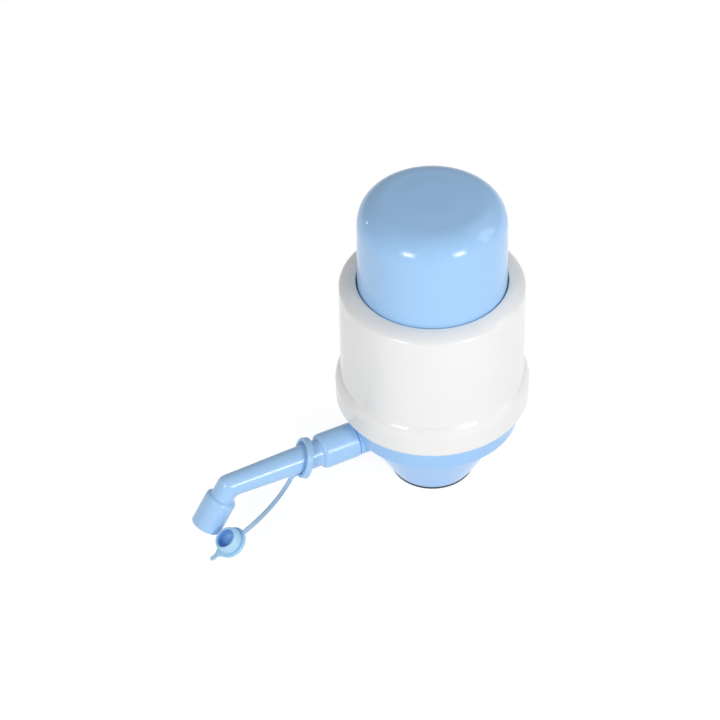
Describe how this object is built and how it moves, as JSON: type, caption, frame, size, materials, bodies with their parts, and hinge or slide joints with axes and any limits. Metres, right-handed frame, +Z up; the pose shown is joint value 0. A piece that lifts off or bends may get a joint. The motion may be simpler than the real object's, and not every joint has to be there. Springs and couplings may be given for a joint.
{
  "type": "water jug hand pump",
  "caption": "Hand pump for a water jug: domed press cap in a white housing, tapering neck collar, swivelling spout with tethered dust cap.",
  "frame": {"origin": "middle of the bounding box's footprint, level with the face of the rim ring that the pump stands on", "axes": "+Z up along the press cap's stroke, the spout points along -X, the pump's axis stands at x = 39.7 mm"},
  "size_m": [0.1694, 0.09, 0.1584],
  "materials": {
    "blue_plastic": "moulded, glossy pale sky blue",
    "white_plastic": "moulded, glossy warm white",
    "soft_blue": "soft flexible plastic, satin pale blue",
    "grey_plastic": "natural light grey moulding",
    "dark_rubber": "matte dark seal rubber",
    "silicone": "translucent silicone, satin",
    "bellows_rubber": "matte grey-blue rubber",
    "steel": "drawn stainless wire and screws"
  },
  "bodies": {
    "pump_body": {"base": "blue_plastic", "rim_ring": "dark_rubber", "neck_gasket": "dark_rubber", "plate_seal": "silicone", "valve_plate": "grey_plastic", "bellows_ring": "grey_plastic", "clamp_screw_1": "steel", "clamp_screw_2": "steel", "clamp_screw_3": "steel", "bellows": "bellows_rubber", "return_spring": "steel", "housing": "white_plastic", "outlet_elbow": "grey_plastic", "elbow_seal": "dark_rubber", "outlet_o_ring": "dark_rubber"},
    "press": {"press_cap": "blue_plastic", "bellows_plug": "grey_plastic"},
    "intake_flap": {"intake_valve": "silicone"},
    "delivery_flap": {"delivery_valve": "silicone"},
    "spout": {"spout": "blue_plastic"},
    "tether_ring": {"tether_ring": "soft_blue"},
    "tether_strap": {"tether_strap": "soft_blue"},
    "dust_cap": {"dust_cap": "soft_blue"}
  },
  "joints": [
    {"name": "press_slide", "type": "slide", "parent": "pump_body", "child": "press", "axis": [0, 0, -1], "range_m": [0, 0.03], "stiffness_N_per_m": 500, "springref_m": -0.01, "deforming": ["bellows", "return_spring"]},
    {"name": "delivery_lift", "type": "slide", "parent": "pump_body", "child": "delivery_flap", "axis": [0, 0, -1], "range_m": [0, 0.0009], "stiffness_N_per_m": 20, "springref_m": -0.001},
    {"name": "intake_lift", "type": "slide", "parent": "press", "child": "intake_flap", "axis": [0, 0, -1], "range_m": [0, 0.0009], "stiffness_N_per_m": 20, "springref_m": -0.001},
    {"name": "spout_swivel", "type": "hinge", "parent": "pump_body", "child": "spout", "pos_m": [-0.01031, 0, 0.0327], "axis": [-1, 0, 0], "continuous": true},
    {"name": "tether_turn", "type": "hinge", "parent": "spout", "child": "tether_ring", "pos_m": [-0.02951, 0, 0.0327], "axis": [-1, 0, 0], "range_deg": [0, 90]},
    {"name": "strap_swing", "type": "hinge", "parent": "tether_ring", "child": "tether_strap", "pos_m": [-0.03504, 0, 0.02229], "axis": [0, -1, 0], "range_deg": [0, 35], "stiffness_Nm_per_rad": 0.03},
    {"name": "cap_tilt", "type": "hinge", "parent": "tether_strap", "child": "dust_cap", "pos_m": [-0.06641, -0.01564, 0.01699], "axis": [-0.0585, -0.9976, -0.038], "range_deg": [-5, 30], "stiffness_Nm_per_rad": 0.01}
  ]
}
